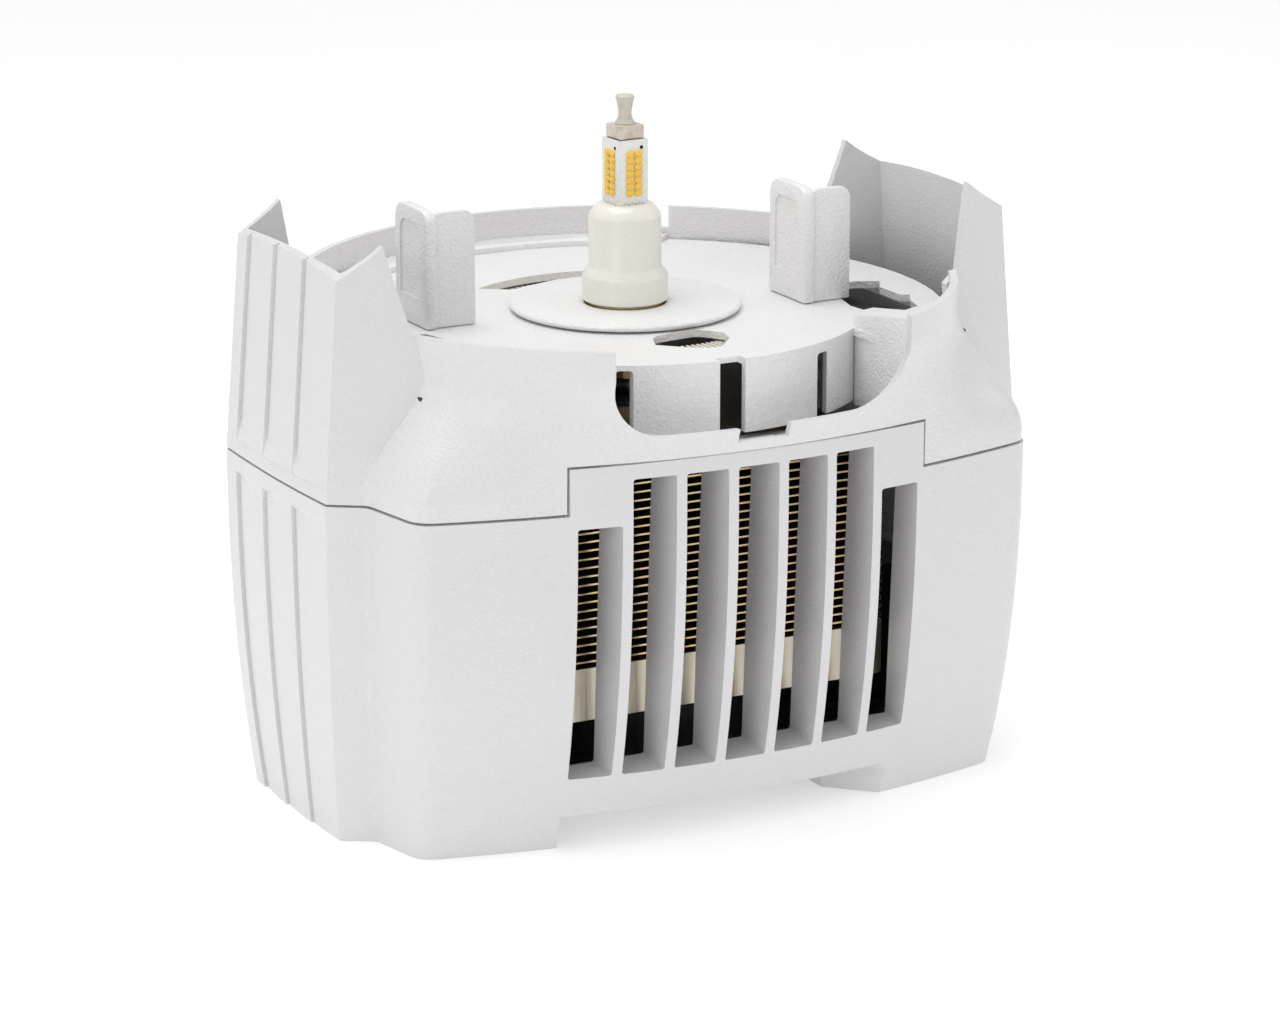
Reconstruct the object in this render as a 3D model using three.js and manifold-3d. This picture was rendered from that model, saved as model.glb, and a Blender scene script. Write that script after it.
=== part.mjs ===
// Garage door opener power head, shown resting on its two feet with its lamp upwards.
// Millimetres, +Z up. Origin: centre of the bounding box, on the plane of the feet.
// The pieces are laid out about the motor axis, and the group is centred at the end.
// X runs along the ribbed ends, the slotted grille faces -Y, the control panel faces +Y.
import * as THREE from "three";
import { mergeVertices } from "three/addons/utils/BufferGeometryUtils.js";
import Module from "manifold-3d";

const wasm = await Module();
wasm.setup();

// ---- Driving dimensions -------------------------------------------------------------
const GAP = 0.3; // between pieces that touch
const WALL = 3;

// Plan of the housing at the parting line
const END_X = 157.7; // ribbed end
const END_HALF = 50;
const END_CROWN = 1.5; // how far the end bows out
const NOTCH = [144.3, 59.1]; // inner corner between end and shoulder
const CORNER = [138.3, 92.6];
const FRONT_Y = 114.8; // middle of the bowed front
const FRONT_BOW = 22.2; // sagitta of the front at the corners

// Heights
const PARTING = 141.9;
const PARTING_GAP = 1.2;
const STEP_RISE = 19; // the parting line steps up over the grille
const STEP_HALF = 79.6;
const RIM = 208.5; // top of the round wall
const TOWER_TOP = 231;
const WING_TIP = [132.3, 243.5];
const WING_FOOT = [123.6, 208.7];
const ARCH = 14.4; // underside between the feet
const FOOT_X = 77.9; // inner edge of each foot at the front and back
const FOOT_IN = 53; // and between them on the right, where that foot is wider
const SPROCKET_HOLE_R = 32; // in the underside
const BASE_INSET = [6.9, 18.4]; // how far the barrel pulls in at the feet, along X and Y
const BARREL_POWER = 2.4;

// Grille
const SLOTS = 7;
const SLOT_PITCH = 22.5;
const SLOT_WIDTH = 18.2;
const SLOT_LOW = 32.6;
const SLOT_HIGH = 154.8;
const END_SLOT_HIGH = 136.4;
const BAR_INNER_Y = -88; // the bars between the slots reach in to here

// Round wall and its front window
const CROWN_R = 136.5;
const WINDOW_HALF = 65.8;
const WINDOW_LOW = 171.7;
const WINDOW_FILLET = 24;
const KEY_HALF = 11.4;
const KEY_LOW = 165.8;
const BACK_GAP = [50, 79]; // an opening in the back of the wall, from and to along X
const BACK_GAP_LOW = 199;

// Deck
const DECK_TOP = 194.2;
const DECK_R = 99; // front edge, behind the window
const FLOOR_R = 128.4; // the rest of the floor of the bowl
const FRONT_HALF_ANGLE = 0.72; // of the front edge, to each side
const DECK_THICK = 3;
const SKIRT_LOW = 164;
const SKIRT_R = [92, 95];
const SKIRT_SLOTS = 12;
const SKIRT_SLOT_HALF = 7;
const CRESCENT = { inner: 57, outer: 70, from: 1.32, to: 2.1 };
const SCALLOP = [[-14, -52], [-19, -62], [-12, -70], [2, -77], [15, -58], [8.5, -49]];
const POCKET = [[92, -4], [108, -2], [117.5, -6.5], [112, -16], [112.5, -32], [116, -34],
  [111, -43], [108.5, -53], [100, -57], [90.5, -47], [85, -49], [84, -40]];
const LAMP_HOLE_R = 17;
const POST_TOP = 243;
const POST_WIDTH = 22.8;
const POST_REACH = 30;
const POST_WEB = 5;
const POST_SETBACK = 1.6; // the flange stands this far behind the edge of the web
const POSTS = { right: [67.5, -30], left: [-90, 0] }; // outer corner of each angle post

// Lamp
const LAMP_PLATE_R = 47.8;
const LAMP_PLATE_TOP = 197.6;
const COLLAR_R = 17.75;
const LAMP_BODY_R = 15;
const COLUMN_SIDE = 14;
const BOARD_THICK = 1.5;
const CAP_SIDE = 11.4;
const COLUMN_LOW = 238;
const COLUMN_HIGH = 265.5;
const CAP_HIGH = 271.5;
const LAMP_TIP = 283;
const LAMP_TURN = 0.073; // radians between the LED column and the housing

// Motor, on the vertical axis
const BARREL_R = 76;
const BARREL_CORE_R = 67;
const BARREL_BORE_R = 64;
const BAND_LOW = 46.3;
const BAND_HIGH = 62;
const FIN_PITCH = 3.9;
const FINS = 22;
const SHAFT_R = 6;

// Planetary reduction, ring gear fixed: 1 + 48 / 12 = 5 to 1
const MODULE_MM = 1.25;
const SUN_TEETH = 12;
const PLANET_TEETH = 18;
const RING_TEETH = 48;
const PLANETS = 3;
const GEAR_LOW = 33;
const GEAR_HIGH = 44;
const PLANET_ORBIT = (MODULE_MM * (SUN_TEETH + PLANET_TEETH)) / 2;
const OUTPUT_R = 8;
const SPROCKET_R = 26;
const SPROCKET_TEETH = 15;

// Control panel, in a recess of the back
const PANEL_X = 56;
const PANEL_LOW = 58;
const PANEL_HIGH = 126;
const PANEL_Y = 100; // outer face of the panel
const BUTTONS = { learn_button: -30, up_button: -12, down_button: 6 };
const BUTTON_R = 4.5;
const BUTTON_Z = 108;

// ---- Finishes -----------------------------------------------------------------------
const finish = (color, roughness, metalness) =>
  new THREE.MeshStandardMaterial({ color, roughness, metalness });
const PAINT = finish("#dcdad6", 0.6, 0);
const GREY = finish("#a3a19d", 0.65, 0);
const CREAM = finish("#d9d6c4", 0.45, 0);
const CHAMPAGNE = finish("#c9a877", 0.3, 1);
const STEEL = finish("#9a9da0", 0.35, 1);
const BLACK = finish("#1d1d1f", 0.5, 0);
const COPPER = finish("#8a4a2a", 0.4, 1);
const BOARD = finish("#1e5b3a", 0.5, 0);
const WHITE_BOARD = finish("#f1f0ea", 0.4, 0);
const BRASS = finish("#c8a24a", 0.3, 1);

// ---- Making solids ------------------------------------------------------------------
const group = new THREE.Group();

function solid(geometry) {
  const bare = geometry.index ? geometry.toNonIndexed() : geometry.clone();
  for (const name of Object.keys(bare.attributes))
    if (name !== "position") bare.deleteAttribute(name);
  const merged = mergeVertices(bare, 1e-3);
  const corners = [...merged.index.array];
  const kept = [];
  for (let i = 0; i < corners.length; i += 3) {
    const [a, b, c] = corners.slice(i, i + 3);
    if (a !== b && b !== c && c !== a) kept.push(a, b, c);
  }
  return new wasm.Manifold(
    new wasm.Mesh({
      numProp: 3,
      vertProperties: merged.attributes.position.array,
      triVerts: new Uint32Array(kept),
    }),
  );
}

function add(name, shape, material, place = [0, 0, 0], turn = 0) {
  const { numProp, vertProperties, triVerts } = shape.getMesh();
  if (numProp !== 3) throw new Error(name + " carries more than positions");
  const geometry = new THREE.BufferGeometry();
  geometry.setAttribute("position", new THREE.BufferAttribute(vertProperties, 3));
  geometry.setIndex(new THREE.BufferAttribute(triVerts, 1));
  geometry.computeVertexNormals();
  const mesh = new THREE.Mesh(geometry, material);
  mesh.name = name;
  mesh.position.set(...place);
  mesh.rotation.z = turn;
  group.add(mesh);
  return mesh;
}

// The biggest body of a cut solid, without the slivers that a cut can leave.
function mainBody(shape) {
  return shape.decompose().reduce((best, body) => (body.volume() > best.volume() ? body : best));
}

const shapeOf = (points) => new THREE.Shape(points.map(([x, y]) => new THREE.Vector2(x, y)));

// An outline in X and Y, pulled up from one height to another.
function prism(outline, low, high, steps = 1) {
  const shape = outline instanceof THREE.Shape ? outline : shapeOf(outline);
  const options = { depth: high - low, steps, bevelEnabled: false, curveSegments: 8 };
  return new THREE.ExtrudeGeometry(shape, options).translate(0, 0, low);
}

// An outline in X and Z, pulled along Y.
function sidePrism(outline, fromY, toY) {
  const shape = outline instanceof THREE.Shape ? outline : shapeOf(outline);
  const options = { depth: toY - fromY, bevelEnabled: false, curveSegments: 8 };
  return new THREE.ExtrudeGeometry(shape, options).rotateX(Math.PI / 2).translate(0, toY, 0);
}

function block([x0, x1], [y0, y1], [z0, z1]) {
  const box = new THREE.BoxGeometry(x1 - x0, y1 - y0, z1 - z0);
  return box.translate((x0 + x1) / 2, (y0 + y1) / 2, (z0 + z1) / 2);
}

// A profile of [radius, height] points, anticlockwise, turned about the Z axis.
function turned(profile, segments = 24) {
  const points = profile.map(([r, z]) => new THREE.Vector2(r, z));
  if (profile[0][0] > 0) points.push(points[0].clone());
  return new THREE.LatheGeometry(points, segments).rotateX(Math.PI / 2);
}
const rod = (r, low, high, segments) =>
  turned([[0, low], [r, low], [r, high], [0, high]], segments);
const tube = (inner, outer, low, high, segments) =>
  turned([[inner, low], [outer, low], [outer, high], [inner, high]], segments);

// Moves each vertex of a geometry by a rule on its coordinates.
function warp(geometry, rule) {
  const position = geometry.attributes.position;
  for (let i = 0; i < position.count; i++)
    position.setXYZ(i, ...rule(position.getX(i), position.getY(i), position.getZ(i)));
  return geometry;
}

// ---- Housing plan -------------------------------------------------------------------
const frontY = (x) => FRONT_Y - FRONT_BOW * (x / CORNER[0]) ** 2;

// One quarter of the plan, from the middle of the end round to the middle of the front.
function quarterPlan() {
  const points = [[END_X + END_CROWN, 0], [END_X + END_CROWN * 0.75, END_HALF / 2]];
  points.push([END_X, END_HALF], NOTCH, [CORNER[0] + 1, CORNER[1] - 5], [CORNER[0] - 3, frontY(CORNER[0] - 3)]);
  for (const share of [0.8, STEP_HALF / CORNER[0], 0.4, 0.2]) {
    const x = CORNER[0] * share;
    points.push([x, frontY(x)]);
  }
  points.push([0, FRONT_Y]);
  return points;
}

// The whole plan, pulled in by a wall on every side.
function housingPlan(inset = 0) {
  const quarter = quarterPlan();
  const back = quarter.slice(0, -1).reverse().map(([x, y]) => [-x, y]);
  const half = [...quarter, ...back];
  const other = half.slice(1, -1).reverse().map(([x, y]) => [x, -y]);
  const shrinkX = 1 - inset / END_X;
  const shrinkY = 1 - inset / FRONT_Y;
  return [...half, ...other].map(([x, y]) => [x * shrinkX, y * shrinkY]);
}

// Below the parting line the housing pulls in like a barrel.
function barrel(x, y, z) {
  const share = Math.max(0, (PARTING - z) / PARTING) ** BARREL_POWER;
  return [x * (1 - (share * BASE_INSET[0]) / END_X), y * (1 - (share * BASE_INSET[1]) / FRONT_Y), z];
}

const ease = (t) => t * t * (3 - 2 * t);

// Above it the shoulders sweep up into a round wall.
function shoulder(inset) {
  return (x, y, z) => {
    const angle = Math.atan2(y, x);
    const radius = Math.hypot(x, y);
    const rise = Math.min(1, Math.max(0, (z - PARTING) / (196 - PARTING)));
    const front = Math.abs(x) < STEP_HALF;
    const share = front ? rise ** 2.2 : ease(rise);
    const r = radius + (CROWN_R - inset - radius) * share;
    return [r * Math.cos(angle), r * Math.sin(angle), z];
  };
}

// ---- Lower housing ------------------------------------------------------------------
// Flat-bottomed region over the grille, where the lower housing steps up.
function partingCut(low) {
  const top = PARTING + STEP_RISE;
  return solid(
    sidePrism(
      [[-200, low], [-STEP_HALF, low], [-STEP_HALF, low + STEP_RISE], [STEP_HALF, low + STEP_RISE],
        [STEP_HALF, low], [200, low], [200, top + 200], [-200, top + 200]],
      -200,
      200,
    ),
  );
}

// Plan of the space between the feet, or of the walls round it.
function archPlan(grow) {
  const [out, inner] = [FOOT_X + grow, FOOT_IN + grow];
  const right = [[out, -200], [out, -99], [inner, -74], [inner, 74], [out, 99], [out, 200]];
  return [...right, [-out, 200], [-out, -200]];
}

function slotCut(index) {
  const x = (index - (SLOTS - 1) / 2) * SLOT_PITCH;
  const high = index === 0 || index === SLOTS - 1 ? END_SLOT_HIGH : SLOT_HIGH;
  const half = SLOT_WIDTH / 2;
  return solid(block([x - half, x + half], [-FRONT_Y - 5, BAR_INNER_Y + 2], [SLOT_LOW, high]));
}

function lowerHousing() {
  const top = PARTING + STEP_RISE;
  const outer = solid(warp(prism(housingPlan(), 0, top, 6), barrel));
  const cavity = solid(warp(prism(housingPlan(WALL), ARCH + WALL, top + 1, 5), barrel));
  const footCavity = solid(warp(prism(housingPlan(WALL), WALL, ARCH + WALL + 1, 1), barrel));
  const overArch = solid(prism(archPlan(WALL), 0, ARCH + WALL + 1));
  const barHalf = (SLOTS * SLOT_PITCH) / 2;
  const bars = solid(block([-barHalf, barHalf], [-200, BAR_INNER_Y], [SLOT_LOW - WALL, top]));
  let housing = outer
    .subtract(cavity)
    .subtract(footCavity.subtract(overArch))
    .add(outer.intersect(bars));
  for (let i = 0; i < SLOTS; i++) housing = housing.subtract(slotCut(i));
  const panelHole = block([-PANEL_X, PANEL_X], [PANEL_Y - 12, 200], [PANEL_LOW, PANEL_HIGH]);
  return housing
    .subtract(partingCut(PARTING))
    .subtract(solid(prism(archPlan(0), -1, ARCH)))
    .subtract(solid(panelHole))
    .subtract(solid(rod(SPROCKET_HOLE_R, -1, ARCH + WALL + 1, 32)));
}
add("lower_housing", lowerHousing(), PAINT);

// ---- Upper housing ------------------------------------------------------------------
function windowOutline() {
  const w = new THREE.Shape();
  const f = WINDOW_FILLET;
  w.moveTo(-WINDOW_HALF, RIM + 10);
  w.lineTo(-WINDOW_HALF, WINDOW_LOW + f);
  w.quadraticCurveTo(-WINDOW_HALF, WINDOW_LOW, f - WINDOW_HALF, WINDOW_LOW);
  w.lineTo(-KEY_HALF, WINDOW_LOW);
  w.lineTo(-KEY_HALF, KEY_LOW);
  w.lineTo(KEY_HALF, KEY_LOW);
  w.lineTo(KEY_HALF, WINDOW_LOW);
  w.lineTo(WINDOW_HALF - f, WINDOW_LOW);
  w.quadraticCurveTo(WINDOW_HALF, WINDOW_LOW, WINDOW_HALF, WINDOW_LOW + f);
  w.lineTo(WINDOW_HALF, RIM + 10);
  return w;
}

// A tall end, U-shaped in plan, whose side walls turn inwards as they rise.
const TOWER_IN = 118;
const TOWER_LEAN = [6.7, 1.4]; // how far the end wall leans in over its height, along X and Y
function towerSolid(side, inset, low, high) {
  const plan = [[END_X, -1], [END_X, 0], [END_X, 1], [TOWER_IN, 1], [TOWER_IN, -1]];
  const rule = (x, y, z) => {
    const rise = (z - PARTING) / (TOWER_TOP - PARTING);
    const endX = END_X - TOWER_LEAN[0] * rise - inset;
    const atEnd = x > TOWER_IN + 1;
    const bow = Math.abs(y) < 0.5 ? END_CROWN : 0;
    const spread = atEnd ? 0 : (0.68 - 0.436 * rise) * (endX - TOWER_IN);
    const reach = END_HALF - TOWER_LEAN[1] * rise - inset * 0.9 + spread;
    return [side * (atEnd ? endX + bow : x), y * reach, z];
  };
  const made = warp(prism(plan, low, high, 5), rule);
  if (side < 0) turnFacesRound(made);
  return solid(made);
}

// Turns every triangle of an unindexed geometry round, after a mirroring.
function turnFacesRound(geometry) {
  const p = geometry.attributes.position.array;
  for (let i = 0; i < p.length; i += 9)
    for (let k = 0; k < 3; k++) [p[i + k], p[i + 3 + k]] = [p[i + 3 + k], p[i + k]];
}

const SETBACK = 0.6; // the shoulders start this far inside the towers
function upperHousing() {
  const low = PARTING + PARTING_GAP;
  const shell = solid(warp(prism(housingPlan(SETBACK), low - 5, RIM, 7), shoulder(0)))
    .subtract(solid(warp(prism(housingPlan(SETBACK + WALL), low - 10, RIM + 5, 7), shoulder(WALL))));
  let housing = shell;
  for (const side of [-1, 1]) {
    const profile = [[TOWER_IN - 4, low - 4], [END_X + 5, low - 4], [END_X + 5, TOWER_TOP + 1]]
      .concat([[151, TOWER_TOP], WING_TIP, WING_FOOT, [TOWER_IN - 4, 200]])
      .map(([x, z]) => [side * x, z]);
    const cut = solid(sidePrism(side > 0 ? profile : profile.reverse(), -100, 100));
    const outer = towerSolid(side, 0, low - 5, 250);
    const inner = towerSolid(side, WALL, low - 6, 260);
    const clear = inner.add(inner.translate([-side * 30, 0, 0]));
    housing = housing.add(outer.intersect(cut)).subtract(clear);
  }
  const window = solid(sidePrism(windowOutline(), -200, -60));
  const backGap = solid(block(BACK_GAP, [100, 200], [BACK_GAP_LOW, RIM + 10]));
  return mainBody(housing.intersect(partingCut(low)).subtract(window).subtract(backGap));
}
add("upper_housing", upperHousing(), PAINT);

// ---- Deck, posts and lamp plate -----------------------------------------------------
// The floor meets the round wall, except in front, where it ends behind the window.
function deckOutline() {
  const deck = new THREE.Shape();
  const front = -Math.PI / 2;
  const wallStart = Math.atan2(-112, 66);
  deck.absarc(0, 0, DECK_R, front - FRONT_HALF_ANGLE, front + FRONT_HALF_ANGLE, false);
  deck.absarc(0, 0, FLOOR_R, wallStart, Math.PI - wallStart, false);
  return deck;
}

function crescentOutline() {
  const { inner, outer, from, to } = CRESCENT;
  const crescent = new THREE.Shape();
  crescent.absarc(0, 0, outer, from, to, false);
  crescent.absarc(0, 0, inner, to, from, true);
  return crescent;
}

function deck() {
  const options = { depth: DECK_THICK, bevelEnabled: false, curveSegments: 48 };
  const plate = new THREE.ExtrudeGeometry(deckOutline(), options).translate(0, 0, DECK_TOP - DECK_THICK);
  let made = solid(plate).add(solid(tube(...SKIRT_R, SKIRT_LOW, DECK_TOP - 1, 40)));
  for (let turn = 0; turn < SKIRT_SLOTS; turn++) {
    const across = [-SKIRT_SLOT_HALF, SKIRT_SLOT_HALF];
    const slot = block(across, [-DECK_R - 2, -DECK_R + 14], [SKIRT_LOW + 6, DECK_TOP - DECK_THICK]);
    made = made.subtract(solid(slot.rotateZ(((turn + 0.2) * 2 * Math.PI) / SKIRT_SLOTS)));
  }
  const mirrored = POCKET.map(([x, y]) => [-x, y]);
  for (const hole of [crescentOutline(), SCALLOP, POCKET, mirrored])
    made = made.subtract(solid(prism(hole, SKIRT_LOW - 14, DECK_TOP + 16)));
  return made.subtract(solid(rod(LAMP_HOLE_R, SKIRT_LOW - 14, DECK_TOP + 16, 24)));
}
add("deck", deck(), PAINT);

// A post plate in X and Z, with its top corners rounded.
function postPlate(start, end, radius) {
  const plate = new THREE.Shape();
  plate.moveTo(start, DECK_TOP + GAP);
  plate.lineTo(end, DECK_TOP + GAP);
  plate.lineTo(end, POST_TOP - radius);
  plate.quadraticCurveTo(end, POST_TOP, end - radius, POST_TOP);
  plate.lineTo(start + radius, POST_TOP);
  plate.quadraticCurveTo(start, POST_TOP, start, POST_TOP - radius);
  return plate;
}

// An angle post: a web running back, and a flange to its right.
function guidePost() {
  const flangePlate = postPlate(POST_WEB - 1, POST_WIDTH, 5);
  const flange = solid(sidePrism(flangePlate, POST_SETBACK, POST_SETBACK + WALL));
  const web = solid(sidePrism(postPlate(0, POST_REACH, 6), 0, POST_WEB).rotateZ(Math.PI / 2));
  return flange.add(web.translate([POST_WEB, 0, 0]));
}
for (const [side, [x, y]] of Object.entries(POSTS))
  add("guide_post_" + side, guidePost(), PAINT, [x, y, 0]);

const lampPlate = [[16.5, DECK_TOP + GAP], [LAMP_PLATE_R - 4, DECK_TOP + GAP]]
  .concat([[LAMP_PLATE_R, LAMP_PLATE_TOP - 1], [LAMP_PLATE_R - 1, LAMP_PLATE_TOP], [16.5, LAMP_PLATE_TOP]]);
add("lamp_plate", solid(turned(lampPlate, 40)), PAINT);

const SOCKET_LOW = 168;
const socket = [[0, SOCKET_LOW], [16, SOCKET_LOW], [16, LAMP_PLATE_TOP], [13.6, LAMP_PLATE_TOP]]
  .concat([[13.6, SOCKET_LOW + 3], [0, SOCKET_LOW + 3]]);
add("lamp_socket", solid(turned(socket)), BRASS);

// ---- Lamp ---------------------------------------------------------------------------
const LAMP_LOW = LAMP_PLATE_TOP + GAP;
const screwBase = [[0, SOCKET_LOW + 4], [5, SOCKET_LOW + 4], [12.8, SOCKET_LOW + 9]]
  .concat([[12.8, LAMP_LOW], [0, LAMP_LOW]]);
add("lamp_screw_base", solid(turned(screwBase)), STEEL);
const lampBody = [[0, LAMP_LOW + GAP], [COLLAR_R, LAMP_LOW + GAP], [COLLAR_R, 209], [LAMP_BODY_R, 212]]
  .concat([[LAMP_BODY_R, 234], [10.5, COLUMN_LOW], [0, COLUMN_LOW]]);
add("lamp_body", solid(turned(lampBody, 32)), CREAM);
const columnHalf = COLUMN_SIDE / 2 - BOARD_THICK;
const acrossColumn = [-columnHalf, columnHalf];
const columnHeights = [COLUMN_LOW + GAP, COLUMN_HIGH];
const column = block(acrossColumn, acrossColumn, columnHeights);
add("led_column", solid(column), STEEL, [0, 0, 0], LAMP_TURN);
const ledBoard = block(acrossColumn, [-COLUMN_SIDE / 2, -columnHalf - GAP], columnHeights);
for (let side = 0; side < 4; side++)
  add("led_board_" + (side + 1), solid(ledBoard), WHITE_BOARD, [0, 0, 0], LAMP_TURN + (side * Math.PI) / 2);
const acrossCap = [-CAP_SIDE / 2, CAP_SIDE / 2];
const cap = block(acrossCap, acrossCap, [COLUMN_HIGH + GAP, CAP_HIGH]);
add("column_cap", solid(cap), STEEL, [0, 0, 0], LAMP_TURN);
const stem = [[0, CAP_HIGH + GAP], [4.4, CAP_HIGH + GAP], [2.7, CAP_HIGH + 3.5]]
  .concat([[3.9, LAMP_TIP], [0, LAMP_TIP]]);
add("lamp_stem", solid(turned(stem, 16)), CREAM);

// ---- Motor --------------------------------------------------------------------------
const BARREL_LOW = BAND_HIGH + GAP;
const BARREL_HIGH = BARREL_LOW + FINS * FIN_PITCH;
function coolingBarrel() {
  const profile = [[BARREL_BORE_R, BARREL_LOW]];
  for (let fin = 0; fin < FINS; fin++) {
    const z = BARREL_LOW + fin * FIN_PITCH;
    profile.push([BARREL_R, z], [BARREL_R, z + FIN_PITCH * 0.4]);
    profile.push([BARREL_CORE_R, z + FIN_PITCH * 0.4], [BARREL_CORE_R, z + FIN_PITCH]);
  }
  profile.push([BARREL_BORE_R, BARREL_HIGH]);
  return solid(turned(profile, 16));
}
add("cooling_barrel", coolingBarrel(), CHAMPAGNE);

const BEARING_R = 13.7;
const hub = BEARING_R + GAP;
const lowerBell = [[hub, BAND_LOW], [BARREL_R, BAND_LOW], [BARREL_R, BAND_HIGH], [BARREL_R - WALL, BAND_HIGH]]
  .concat([[BARREL_R - WALL, BAND_LOW + WALL], [hub + WALL, BAND_LOW + WALL]])
  .concat([[hub + WALL, BAND_HIGH - 4], [hub, BAND_HIGH - 4]]);
add("lower_end_bell", solid(turned(lowerBell, 32)), CHAMPAGNE);
const bellLow = BARREL_HIGH + GAP;
const upperBell = [[hub, bellLow], [BARREL_R, bellLow], [BARREL_R, bellLow + 4], [hub + WALL, bellLow + 4]]
  .concat([[hub + WALL, bellLow + 8], [hub, bellLow + 8]]);
add("upper_end_bell", solid(turned(upperBell, 32)), CHAMPAGNE);
add("lower_bearing", solid(tube(SHAFT_R + GAP, BEARING_R, BAND_LOW, BAND_HIGH - 5)), STEEL);
add("upper_bearing", solid(tube(SHAFT_R + GAP, BEARING_R, bellLow, bellLow + 7)), STEEL);
add("stator", solid(tube(44, BARREL_BORE_R - 2.5, 72, 138)), COPPER);
add("rotor", solid(tube(SHAFT_R + GAP, 43, 74, 136)), STEEL);
const shaft = [[0, GEAR_LOW - 0.5], [4, GEAR_LOW - 0.5], [4, GEAR_HIGH + 1], [SHAFT_R, GEAR_HIGH + 1]]
  .concat([[SHAFT_R, 164], [0, 164]]);
add("motor_shaft", solid(turned(shaft, 16)), STEEL);
add("encoder_wheel", solid(tube(SHAFT_R + GAP, 22, 160, 162)), BLACK);

// ---- Reduction ----------------------------------------------------------------------
// A spur gear outline with straight-flanked teeth: the first tooth points along +X.
function gearOutline(teeth, reach, root, share) {
  const pitch = (2 * Math.PI) / teeth;
  const points = [];
  for (let tooth = 0; tooth < teeth; tooth++)
    for (const [at, r] of [[-share, root], [-share * 0.5, reach], [share * 0.5, reach], [share, root]])
      points.push([r * Math.cos(pitch * (tooth + at)), r * Math.sin(pitch * (tooth + at))]);
  return points;
}

function spurGear(teeth, bore, low, high) {
  const radius = (MODULE_MM * teeth) / 2;
  const outline = gearOutline(teeth, radius + 0.75 * MODULE_MM, radius - 1.1 * MODULE_MM, 0.32);
  return solid(prism(outline, low, high)).subtract(solid(rod(bore, low - 1, high + 1, 16)));
}
add("sun_gear", spurGear(SUN_TEETH, 4 + GAP, GEAR_LOW, GEAR_HIGH), STEEL);
const PIN_R = 3;
for (let i = 0; i < PLANETS; i++) {
  const angle = (i * 2 * Math.PI) / PLANETS;
  const at = [PLANET_ORBIT * Math.cos(angle), PLANET_ORBIT * Math.sin(angle), 0];
  const planet = spurGear(PLANET_TEETH, PIN_R + GAP, GEAR_LOW, GEAR_HIGH);
  add("planet_gear_" + (i + 1), planet, CREAM, at, angle + Math.PI / PLANET_TEETH);
}
const RING_R = (MODULE_MM * RING_TEETH) / 2;
const ringTeeth = gearOutline(RING_TEETH, RING_R - 0.75 * MODULE_MM, RING_R + 1.1 * MODULE_MM, 0.32);
const ringGear = solid(rod(35, GEAR_LOW, GEAR_HIGH, 32))
  .subtract(solid(prism(ringTeeth, GEAR_LOW - 1, GEAR_HIGH + 1)));
add("ring_gear", ringGear, STEEL);

const CASE_LOW = 20.3;
const gearCase = [[16, CASE_LOW], [60, CASE_LOW], [60, BAND_LOW - GAP], [35 + GAP, BAND_LOW - GAP]]
  .concat([[35 + GAP, GEAR_LOW - GAP], [27, GEAR_LOW - GAP], [27, 28], [16, 28]]);
add("gear_case", solid(turned(gearCase, 32)), BLACK);
add("output_bearing", solid(tube(OUTPUT_R + GAP, 16 - GAP, CASE_LOW, 27.7)), STEEL);

function carrier() {
  let made = solid(rod(OUTPUT_R, 1, 30)).add(solid(rod(24, 28.4, GEAR_LOW - GAP - 0.5)));
  for (let i = 0; i < PLANETS; i++) {
    const angle = (i * 2 * Math.PI) / PLANETS;
    const pin = rod(PIN_R, 30, GEAR_HIGH + 0.8, 12);
    made = made.add(solid(pin.translate(PLANET_ORBIT * Math.cos(angle), PLANET_ORBIT * Math.sin(angle), 0)));
  }
  return made;
}
add("planet_carrier", carrier(), STEEL);

const sprocketTeeth = gearOutline(SPROCKET_TEETH, SPROCKET_R, SPROCKET_R - 5, 0.42);
const sprocket = solid(prism(sprocketTeeth, 3.3, 10.5))
  .add(solid(rod(15, 9, 13)))
  .subtract(solid(rod(OUTPUT_R + GAP, 0, 20)));
add("drive_sprocket", sprocket, STEEL);
const nut = solid(rod(13, 1, 3, 6)).subtract(solid(rod(OUTPUT_R + GAP, 0, 4)));
add("sprocket_nut", nut, STEEL);

// ---- Chassis and electrics ----------------------------------------------------------
const CHASSIS_LOW = ARCH + WALL + GAP;
const CHASSIS_HIGH = CASE_LOW - GAP;
const chassis = solid(block([-128, 128], [-66, 66], [CHASSIS_LOW, CHASSIS_HIGH]))
  .subtract(solid(rod(17, 10, 30)));
add("chassis_plate", chassis, STEEL);
const onChassis = CHASSIS_HIGH + GAP;
const TRANSFORMER = { x: [84, 126], y: [-32, 32], top: 78 };
const CAPACITOR = { r: 19, at: [-98, 36], top: 112 };
const BOARD_X = [-127, -125.4];
const RELAY_SIZE = [17.1, 18, 26];
const RELAYS = { relay_1: -30, relay_2: -8 };
const RELAY_LOW = 96;
add("transformer", solid(block(TRANSFORMER.x, TRANSFORMER.y, [onChassis, TRANSFORMER.top])), BLACK);
const can = rod(CAPACITOR.r, onChassis, CAPACITOR.top, 20);
add("capacitor", solid(can.translate(...CAPACITOR.at, 0)), STEEL);
add("control_board", solid(block(BOARD_X, [-40, 40], [onChassis, 128])), BOARD);
for (const [name, y] of Object.entries(RELAYS)) {
  const x = BOARD_X[1] + GAP;
  const size = block([x, x + RELAY_SIZE[0]], [y, y + RELAY_SIZE[1]], [RELAY_LOW, RELAY_LOW + RELAY_SIZE[2]]);
  add(name, solid(size), BLACK);
}

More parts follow.
